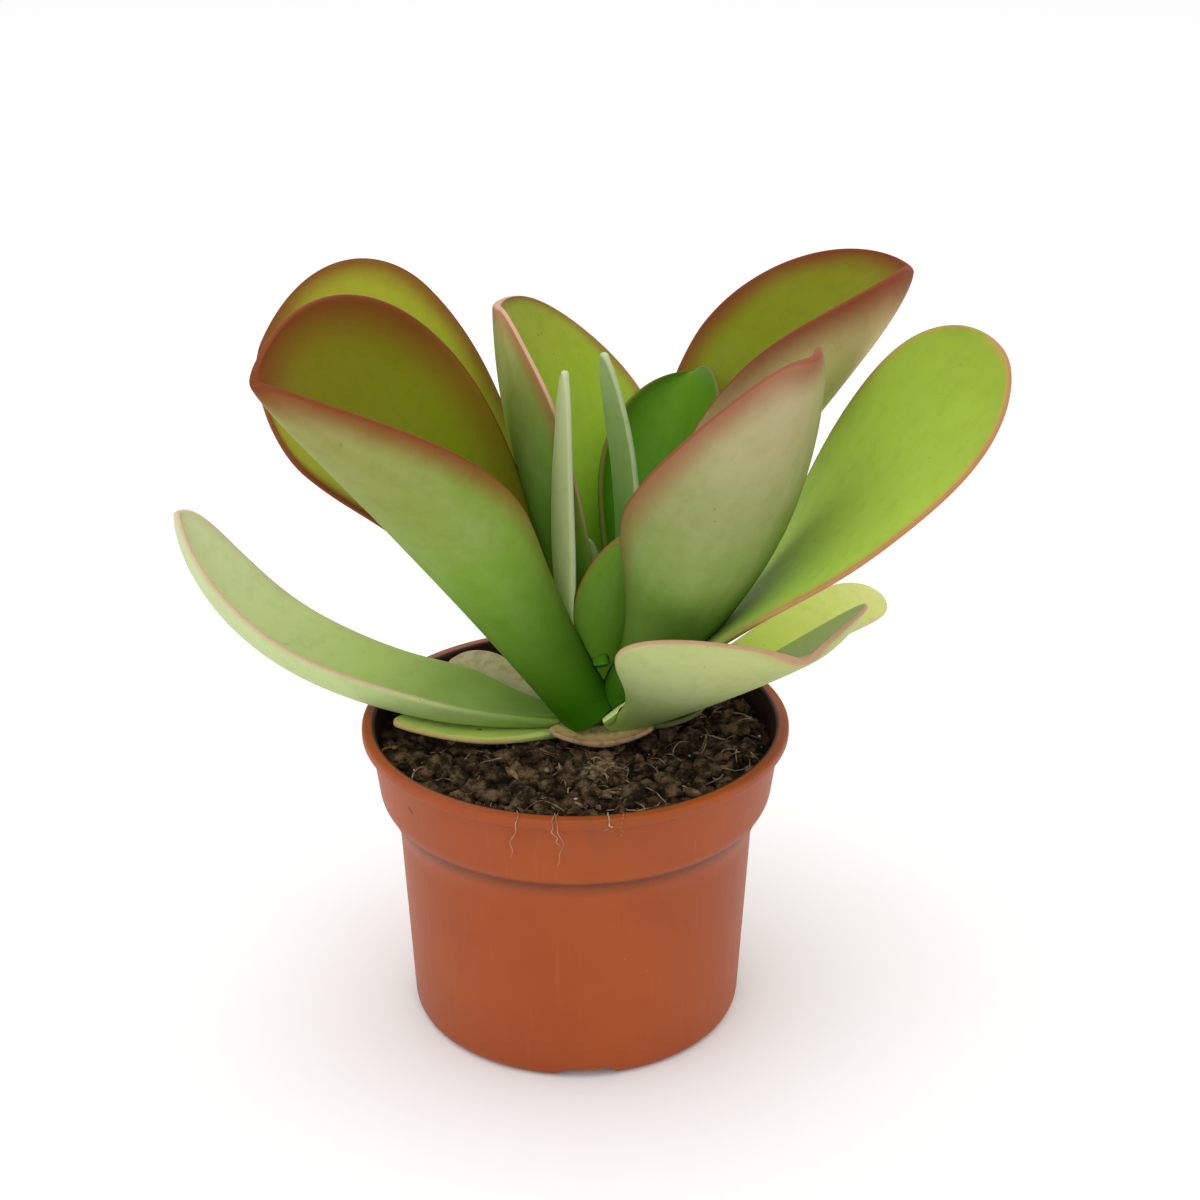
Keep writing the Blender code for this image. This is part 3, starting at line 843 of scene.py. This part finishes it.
def blade(design, count, columns, grow=0.0):
    """Upper and lower points of a blade, and its pattern coordinates.

    Each half of a row is a circular arc that leaves the midrib; the two
    faces lie half the thickness to either side of it. The thickness
    falls off towards the margin and rounds over at the very edge.
    """
    rows, place, heading, slope = midrib(design, count)
    along = np.stack([np.cos(slope) * np.cos(heading),
                      np.cos(slope) * np.sin(heading), np.sin(slope)], -1)
    up = np.stack([-np.sin(slope) * np.cos(heading),
                   -np.sin(slope) * np.sin(heading), np.cos(slope)], -1)
    side = np.cross(along, up)
    low_roll, high_roll = design["roll"]
    roll = np.radians(low_roll + (high_roll - low_roll) * rows)[:, None]
    across = side * np.cos(roll) + up * np.sin(roll)
    above = up * np.cos(roll) - side * np.sin(roll)
    place[0] -= along[0] * grow
    place[-1] += along[-1] * grow
    share = np.sin(np.linspace(-0.5, 0.5, columns) * math.pi)[None, :]
    low_cup, high_cup = design["cup"]
    curl = np.radians(low_cup + (high_cup - low_cup) * rows)[:, None]
    curl = curl * (1.0 + design["lean"] * np.sign(share)) + 0.0001
    half = half_width(design, rows)[:, None]
    core = (LEAF_BLADE + LEAF_WIDE_EXTRA * design["size"][1]
            + LEAF_FOOT_EXTRA * (1.0 - rows) ** 1.6)[:, None]
    curl = np.minimum(curl, half / (TIGHTEST_CURL * core))
    turn = curl * share * (half + grow) / half
    length = design["size"][0]
    phase = math.radians(design["heading"])
    wave = np.sin(rows * length / 0.013 + phase)[:, None] * share ** 2
    wave = wave + 0.8 * np.sin(rows * length / 0.0075 + 3.0 * phase
                               )[:, None] * share ** 3
    groove = -0.35 * np.exp(-(share * half / 0.0016) ** 2)
    ripple = (0.00028 * (wave + groove)
              * np.clip(half / 0.02, 0.2, 1.0) * np.sin(rows * math.pi
                                                        )[:, None] ** 0.5)
    out = half * np.sin(turn) / curl
    lift = half * (1.0 - np.cos(turn)) / curl
    toward = (above[:, None, :] * np.cos(turn)[..., None]
              - across[:, None, :] * np.sin(turn)[..., None])
    middle = (place[:, None, :] + across[:, None, :] * out[..., None]
              + above[:, None, :] * lift[..., None]
              + toward * ripple[..., None])
    thick = np.maximum(core * (1.0 - 0.45 * share ** 2), LEAF_EDGE)
    rim = np.minimum(thick * 0.55 / half, 0.7)
    over = np.clip((np.abs(share) - 1.0 + rim) / rim, 0.0, 1.0)
    end = np.clip(1.0 - (1.0 - rows) * length / 0.0008, 0.0, 1.0)[:, None]
    thick = thick * np.sqrt(np.clip(1.0 - over ** 2, 0.0, 1.0)
                            * np.clip(1.0 - end ** 2, 0.0, 1.0))
    offset = toward * (thick / 2.0 + grow)[..., None]
    to_side = half * (1.0 - np.abs(share))
    to_tip = (1.0 - rows)[:, None] * length
    margin = to_side * to_tip / np.sqrt(to_side ** 2 + to_tip ** 2 + 1e-12)
    pattern = np.stack(np.broadcast_arrays(
        rows[:, None], share, margin * 1000.0), -1)
    return middle + offset, middle - offset, pattern


def leaf_mesh(name, design, count, columns, grow=0.0):
    """The blade as a closed mesh with two UV maps.

    'blade' holds the share along and across; 'rim' holds millimetres from
    the margin, and 1 on the upper face and 0 on the lower one.
    """
    upper, lower, pattern = blade(design, count, columns, grow)
    points = np.concatenate([upper.reshape(-1, 3), lower.reshape(-1, 3)])
    size = count * columns
    top = grid_faces(count, columns)
    low = top[:, ::-1] + size
    i = np.arange(count - 1)
    first = i * columns
    final = i * columns + columns - 1
    left = np.stack([first + size, first + size + columns,
                     first + columns, first], -1)[:, ::-1]
    right = np.stack([final, final + columns, final + size + columns,
                      final + size], -1)[:, ::-1]
    j = np.arange(columns - 1)
    foot = np.stack([j, j + size, j + size + 1, j + 1], -1)[:, ::-1]
    k = size - columns + j
    head = np.stack([k, k + 1, k + size + 1, k + size], -1)[:, ::-1]
    faces = np.concatenate([top, low, left, right, foot, head])
    made = add_mesh(name, points, faces)
    flat = pattern.reshape(-1, 3)
    flat = np.concatenate([flat, flat])
    over = np.repeat([1.0, 0.0], size)
    corner = np.empty(len(made.data.loops), int)
    made.data.loops.foreach_get("vertex_index", corner)
    for title, pair in (("blade", flat[:, :2]),
                        ("rim", np.stack([flat[:, 2], over], -1))):
        layer = made.data.uv_layers.new(name=title)
        layer.data.foreach_set("uv", pair[corner].ravel())
    fix = bmesh.new()
    fix.from_mesh(made.data)
    bmesh.ops.remove_doubles(fix, verts=fix.verts[:], dist=0.000012)
    bmesh.ops.dissolve_degenerate(fix, edges=fix.edges[:], dist=0.000005)
    bmesh.ops.recalc_face_normals(fix, faces=fix.faces[:])
    if fix.calc_volume(signed=True) < 0.0:
        bmesh.ops.reverse_faces(fix, faces=fix.faces[:])
    fix.to_mesh(made.data)
    fix.free()
    made.data.shade_smooth()
    return made


def leaf_skin(name, upper, lower, blush, line, bloom, dry=0.0):
    """Leaf skin: three tones along each face, redder towards the margin.

    upper, lower: tones at base, middle and tip. blush: colour, width in
    mm above and below, strength. line: margin's colour and width in mm.
    bloom: how much of the pale powder shows. dry: brown blotches.
    """
    made, shader, wire = start_material(name, 0.5, 0.055)
    maps = wire.node("UVMap", {"uv_map": "blade"})
    edge = wire.node("UVMap", {"uv_map": "rim"})
    along = wire.node("SeparateXYZ", {}, {0: maps})
    from_edge = wire.node("SeparateXYZ", {}, {0: edge})
    over = wire.node("SeparateXYZ", {}, {0: edge}, output=1)
    where = wire.node("TexCoord", output=3)
    drift = wire.noise(where, 45.0, 3.0)
    mottle = wire.noise(where, 210.0, 4.0, 0.6)
    fine = wire.noise(where, 1400.0, 2.0)
    streak = wire.noise(wire.stretch(maps, (2.2, 7.0, 1.0)), 1.0, 3.0, 0.5)
    place = along + (drift - 0.5) * 0.16
    tones = []
    for base, middle, tip in (lower, upper):
        tones.append(wire.node("ValToRGB", {"stops": (
            (0.06, base), (0.46, middle), (0.97, tip))}, {0: place}))
    tone = over.step(0.35, 0.65).blend(tones[0], tones[1])
    powder = (streak.step(0.30, 0.85) * 0.35 + drift.step(0.35, 0.65) * 0.18
              + mottle.step(0.40, 0.80) * 0.12)
    powder = (powder * (1.0 - 0.80 * over) * bloom
              * along.step(0.08, 0.55))
    tone = powder.blend(tone, (0.47, 0.51, 0.30))
    colour, above, below, strength = blush
    near = from_edge + (drift - 0.5) * 3.0
    widen = along.step(0.10, 0.75)
    flush_up = near.step(above, 0.0) * over
    flush_down = near.step(below, 0.0) * (1.0 - over)
    flush = (flush_up + flush_down) * widen * strength
    tone = flush.blend(tone, colour)
    rim_colour, rim_width = line
    rim = from_edge.step(rim_width, rim_width * 0.3) * along.step(0.18, 0.5)
    tone = (rim * 0.85).blend(tone, rim_colour)
    shade = mottle.step(0.25, 0.55)
    tone = (0.10 * (1.0 - shade)).blend(tone, (0.05, 0.08, 0.01))
    freckle = wire.noise(where, 520.0, 1.0).step(0.755, 0.80)
    tone = (freckle * 0.30).blend(tone, (0.16, 0.09, 0.03))
    if dry:
        spoilt = wire.noise(where, 320.0, 4.0, 0.65).step(0.44, 0.66)
        tone = (spoilt * dry).blend(tone, (0.17, 0.085, 0.035))
    plug(tone, shader, "Base Color")
    plug(0.44 + 0.14 * mottle + 0.10 * powder, shader, "Roughness")
    veins = wire.noise(wire.stretch(maps, (1.3, 34.0, 1.0)), 1.0, 1.0)
    rough_skin(wire, shader, veins * 0.22 + mottle * 0.5 + fine * 0.06,
               0.00022 + 0.0006 * dry)
    return made


def leaf(name, heading, swing, rise, size, neck, widest, cup, roll, foot,
         lean=0.0, tip=2.0):
    """One leaf's shape, in the same terms and with the same values as in
    the CAD source: degrees and metres."""
    return dict(name=name, heading=heading, swing=swing, rise=rise,
                size=size, neck=neck, widest=widest, cup=cup, roll=roll,
                foot=foot, lean=lean, tip=tip)


def tree_of(body):
    """A search tree of one object's mesh."""
    points = [vertex.co.copy() for vertex in body.data.vertices]
    return BVHTree.FromPolygons(points, [tuple(face.vertices)
                                         for face in body.data.polygons])


grown = []


def add_leaf(design, slot, **skin):
    """Make a leaf, trim it where it would meet an older one, and keep its
    grown shape to trim the younger leaves with."""
    title = design["name"]
    made = leaf_mesh(title + "_blade", design, LEAF_ROWS, LEAF_COLUMNS)
    shape = tree_of(made)
    cutters = []
    for number, (older, tree) in enumerate(grown):
        if shape.overlap(tree):
            cutters.append(leaf_mesh("room_%d" % number, older, ROOM_ROWS,
                                     ROOM_COLUMNS, ROOM_GROWTH))
    if cutters:
        carve(made, cutters, 45.0)
    room = leaf_mesh("room", design, ROOM_ROWS, ROOM_COLUMNS, ROOM_GROWTH)
    grown.append((design, tree_of(room)))
    bpy.data.objects.remove(room, do_unlink=True)
    made.data.materials.clear()
    made.data.materials.append(leaf_skin(title + "_skin", **skin))
    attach(made, "root")
    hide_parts(title)


# The oldest leaves lie on the soil: two withered ones and small low ones.
NO_BLUSH = ((0.40, 0.30, 0.12), 1.0, 1.0, 0.0)

add_leaf(leaf("leaf_front_withered", 275, 0, (8, -6, 1.0), (0.008, 0.030),
              0.80, 0.45, (30, 20), (0, 0), (0.0055, 0.0865)), "leaf_dry",
         upper=((0.46, 0.5, 0.15), (0.56, 0.46, 0.17), (0.6, 0.36, 0.15)),
         lower=((0.4, 0.42, 0.13), (0.5, 0.37, 0.13), (0.52, 0.32, 0.13)),
         blush=((0.30, 0.13, 0.06), 3.0, 3.0, 0.6),
         line=((0.46, 0.34, 0.19), 0.5), bloom=0.3, dry=0.55)
add_leaf(leaf("leaf_back_withered", 142, -5, (3, 8, 1.0), (0.050, 0.018), 0.40,
              0.75, (20, 30), (0, 8), (0.006, 0.0850)), "leaf_dry",
         upper=((0.36, 0.38, 0.14), (0.46, 0.45, 0.21), (0.52, 0.46, 0.27)),
         lower=((0.3, 0.3, 0.1), (0.4, 0.36, 0.16), (0.44, 0.38, 0.2)),
         blush=NO_BLUSH, line=((0.38, 0.33, 0.18), 0.5), bloom=0.4, dry=0.3)
# Painted light: this leaf's tones are painted paler to offset the shade the
# left low leaf casts on it.
add_leaf(leaf("leaf_left_small", 190, -8, (-2, 14, 1.3), (0.052, 0.024), 0.32,
              0.52, (20, 13), (-4, -10), (0.006, 0.0860)), "leaf_green",
         upper=((0.5, 0.64, 0.18), (0.7, 0.86, 0.2), (0.68, 0.8, 0.24)),
         lower=((0.34, 0.44, 0.12), (0.5, 0.62, 0.18), (0.54, 0.62, 0.2)),
         blush=((0.46, 0.34, 0.12), 1.8, 1.2, 0.5),
         line=((0.48, 0.30, 0.12), 0.5), bloom=0.25)
add_leaf(leaf("leaf_right_small", 8, 0, (14, 20, 1.0), (0.026, 0.022), 0.45,
              0.55, (25, 20), (0, -10), (0.006, 0.0855)), "leaf_green",
         upper=((0.07, 0.1, 0.02), (0.1, 0.15, 0.035), (0.12, 0.16, 0.045)),
         lower=((0.06, 0.09, 0.02), (0.09, 0.12, 0.03), (0.1, 0.13, 0.04)),
         blush=NO_BLUSH, line=((0.14, 0.15, 0.05), 0.5), bloom=0.3)
add_leaf(leaf("leaf_back_small", 62, 0, (10, 26, 1.0), (0.058, 0.032), 0.40,
              0.65, (30, 25), (0, 0), (0.006, 0.0860)), "leaf_green",
         upper=((0.14, 0.26, 0.03), (0.26, 0.40, 0.05), (0.32, 0.42, 0.07)),
         lower=((0.13, 0.22, 0.04), (0.26, 0.35, 0.11), (0.32, 0.36, 0.14)),
         blush=((0.40, 0.20, 0.08), 2.0, 1.5, 0.5),
         line=((0.40, 0.20, 0.09), 0.7), bloom=0.4)

# The low leaves reach out over the rim; their pale undersides face out.
add_leaf(leaf("leaf_right_low", 26, 34, (13, -18, 1.9), (0.116, 0.018), 0.38,
              0.72, (11, 4), (-6, -34), (0.006, 0.0857), tip=2.3),
         "leaf_green",
         upper=((0.34, 0.47, 0.07), (0.5, 0.62, 0.1), (0.58, 0.6, 0.19)),
         lower=((0.3, 0.41, 0.09), (0.48, 0.56, 0.15), (0.56, 0.58, 0.22)),
         blush=((0.56, 0.46, 0.20), 1.5, 1.5, 0.5),
         line=((0.60, 0.50, 0.28), 0.5), bloom=0.25)
add_leaf(leaf("leaf_left_low", 182, -42, (3, 71, 2.6), (0.143, 0.041), 0.26,
              0.30, (31, 69), (1, 10), (0.003, 0.0876), lean=-0.7, tip=2.1),
         "leaf_green",
         upper=((0.13, 0.27, 0.01), (0.44, 0.6, 0.17), (0.66, 0.72, 0.42)),
         lower=((0.2, 0.34, 0.05), (0.48, 0.6, 0.24), (0.6, 0.66, 0.38)),
         blush=((0.52, 0.4, 0.26), 3.0, 1.5, 0.4),
         line=((0.66, 0.42, 0.32), 0.6), bloom=0.8)
add_leaf(leaf("leaf_back_low", 124, 0, (28, 40, 1.0), (0.078, 0.046), 0.36,
              0.66, (35, 30), (0, 0), (0.006, 0.0900)), "leaf_green",
         upper=((0.12, 0.24, 0.02), (0.26, 0.38, 0.05), (0.32, 0.38, 0.07)),
         lower=((0.12, 0.22, 0.03), (0.28, 0.37, 0.12), (0.36, 0.36, 0.16)),
         blush=((0.36, 0.16, 0.06), 3.5, 2.0, 0.55),
         line=((0.38, 0.17, 0.08), 0.8), bloom=0.6)
add_leaf(leaf("leaf_front_low", 338, -32, (24, 37, 0.6), (0.072, 0.092), 0.22,
              0.68, (23, 46), (21, 0), (0.007, 0.0870), lean=0.25, tip=1.9),
         "leaf_pale",
         upper=((0.22, 0.32, 0.06), (0.36, 0.48, 0.09), (0.42, 0.50, 0.12)),
         lower=((0.26, 0.4, 0.09), (0.39, 0.47, 0.17), (0.43, 0.48, 0.17)),
         blush=((0.50, 0.36, 0.20), 2.5, 1.8, 0.45),
         line=((0.50, 0.28, 0.18), 0.8), bloom=0.75)

# The outer ring: the large scoops and paddles that give the plant its
# outline, red above and along the margins where the sun reaches them.
# Painted light: the upper face is painted paler towards its base to offset the
# shade the front right leaf casts there.
add_leaf(leaf("leaf_right_broad", 350, 6, (44, 52, 0.7), (0.149, 0.076), 0.33,
              0.66, (4, 13), (18, -26), (0.0065, 0.0900)), "leaf_green",
         upper=((0.62, 0.8, 0.24), (0.46, 0.68, 0.09), (0.27, 0.38, 0.03)),
         lower=((0.22, 0.32, 0.07), (0.34, 0.42, 0.13), (0.38, 0.40, 0.16)),
         blush=((0.50, 0.26, 0.09), 3.5, 2.5, 0.6),
         line=((0.46, 0.20, 0.09), 0.9), bloom=0.5)
add_leaf(leaf("leaf_left_back", 138, 50, (52, 31, 2.6), (0.137, 0.094), 0.22,
              0.79, (4, 37), (-16, 47), (0.007, 0.0910), lean=-0.69),
         "leaf_red",
         upper=((0.15, 0.27, 0.008), (0.29, 0.37, 0.015), (0.34, 0.33, 0.022)),
         lower=((0.2, 0.27, 0.03), (0.38, 0.36, 0.09), (0.55, 0.38, 0.17)),
         blush=((0.2, 0.052, 0.014), 9.0, 2.0, 0.9),
         line=((0.19, 0.046, 0.016), 1.0), bloom=0.4)
add_leaf(leaf("leaf_left_scoop", 196, 43, (55, 38, 3.0), (0.155, 0.100), 0.48,
              0.59, (128, 81), (27, 69), (0.008, 0.0900), lean=-0.64, tip=1.8),
         "leaf_red",
         upper=((0.16, 0.23, 0.003), (0.2, 0.25, 0.004), (0.21, 0.17, 0.005)),
         lower=((0.03, 0.125, 0.001), (0.17, 0.31, 0.028), (0.29, 0.27, 0.08)),
         blush=((0.20, 0.05, 0.012), 16.0, 8.0, 0.95),
         line=((0.19, 0.045, 0.016), 1.1), bloom=0.3)
# Painted light: the lower face is painted much paler from its base to its
# middle to offset the shade the front right leaf casts on it.
add_leaf(leaf("leaf_back_right", 42, -28, (48, 50, 1.0), (0.143, 0.094), 0.22,
              0.66, (115, 64), (24, -22), (0.007, 0.0980), lean=0.7, tip=1.7),
         "leaf_red",
         upper=((0.09, 0.18, 0.001), (0.17, 0.225, 0.002), (0.2, 0.2, 0.006)),
         lower=((0.85, 0.92, 0.42), (0.7, 0.7, 0.3), (0.37, 0.22, 0.08)),
         blush=((0.18, 0.04, 0.014), 10.0, 13.0, 1.0),
         line=((0.2, 0.052, 0.022), 1.1), bloom=0.5)

# The inner ring stands more upright, with greener, fresher faces.
add_leaf(leaf("leaf_back_left", 106, 50, (57, 86, 2.6), (0.109, 0.094), 0.50,
              0.66, (115, 37), (-21, -18), (0.007, 0.0990), lean=-0.24),
         "leaf_green",
         upper=((0.05, 0.24, 0.001), (0.25, 0.46, 0.02), (0.36, 0.4, 0.035)),
         lower=((0.07, 0.22, 0.006), (0.13, 0.33, 0.02), (0.29, 0.28, 0.075)),
         blush=((0.3, 0.1, 0.04), 5.0, 6.0, 0.8),
         line=((0.6, 0.35, 0.26), 0.6), bloom=0.5)
add_leaf(leaf("leaf_front_right", 315, 16, (46, 84, 1.4), (0.137, 0.078), 0.25,
              0.60, (113, 43), (22, -5), (0.005, 0.0910), lean=0.31, tip=2.2),
         "leaf_pale",
         upper=((0.08, 0.20, 0.010), (0.18, 0.32, 0.03), (0.30, 0.28, 0.05)),
         lower=((0.04, 0.15, 0.003), (0.17, 0.27, 0.04), (0.44, 0.36, 0.2)),
         blush=((0.27, 0.085, 0.04), 6.0, 10.0, 0.85),
         line=((0.25, 0.07, 0.035), 1.0), bloom=0.3)
add_leaf(leaf("leaf_back_inner", 52, 28, (62, 42, 0.6), (0.094, 0.056), 0.24,
              0.63, (100, 76), (11, 48), (0.007, 0.0990), lean=-0.6, tip=1.9),
         "leaf_green",
         upper=((0.015, 0.08, 0.001), (0.05, 0.19, 0.004),
                (0.11, 0.25, 0.009)),
         lower=((0.045, 0.13, 0.006), (0.12, 0.22, 0.025), (0.18, 0.24, 0.05)),
         blush=((0.2, 0.09, 0.02), 1.2, 1.0, 0.6),
         line=((0.13, 0.13, 0.02), 0.6), bloom=0.4)
add_leaf(leaf("leaf_front_inner", 318, 0, (86, 62, 1.0), (0.061, 0.030), 0.46,
              0.52, (56, 48), (14, 14), (0.004, 0.0940)), "leaf_green",
         upper=((0.08, 0.2, 0.008), (0.12, 0.29, 0.012), (0.15, 0.32, 0.015)),
         lower=((0.1, 0.22, 0.01), (0.12, 0.27, 0.012), (0.15, 0.3, 0.02)),
         blush=((0.26, 0.12, 0.03), 2.0, 2.0, 0.6),
         line=((0.28, 0.13, 0.05), 0.6), bloom=0.25)

# The heart: two slim young leaves and a bud, pale with unbroken bloom.
add_leaf(leaf("leaf_centre_left", 208, -4, (80, 94, 0.7), (0.096, 0.013), 0.40,
              0.50, (8, 8), (0, 0), (0.007, 0.0970)), "leaf_pale",
         upper=((0.3, 0.44, 0.09), (0.52, 0.66, 0.26), (0.64, 0.7, 0.38)),
         lower=((0.33, 0.48, 0.12), (0.56, 0.7, 0.3), (0.66, 0.74, 0.4)),
         blush=NO_BLUSH, line=((0.52, 0.56, 0.38), 0.4), bloom=0.6)
add_leaf(leaf("leaf_centre_right", 17, 4, (75, 108, 1.0), (0.099, 0.018), 0.42,
              0.52, (24, 22), (5, -7), (0.0037, 0.0985)), "leaf_pale",
         upper=((0.16, 0.3, 0.05), (0.24, 0.41, 0.11), (0.4, 0.53, 0.22)),
         lower=((0.18, 0.33, 0.06), (0.29, 0.45, 0.14), (0.46, 0.57, 0.26)),
         blush=NO_BLUSH, line=((0.46, 0.54, 0.34), 0.5), bloom=0.5)
add_leaf(leaf("leaf_bud", 118, 0, (78, 88, 1.0), (0.042, 0.010), 0.50, 0.49,
              (29, 29), (0, 0), (0.0016, 0.0990)), "leaf_pale",
         upper=((0.28, 0.46, 0.1), (0.38, 0.56, 0.18), (0.48, 0.62, 0.28)),
         lower=((0.28, 0.46, 0.1), (0.4, 0.58, 0.2), (0.5, 0.64, 0.3)),
         blush=NO_BLUSH, line=((0.36, 0.44, 0.26), 0.4), bloom=0.5)


bpy.context.view_layer.update()
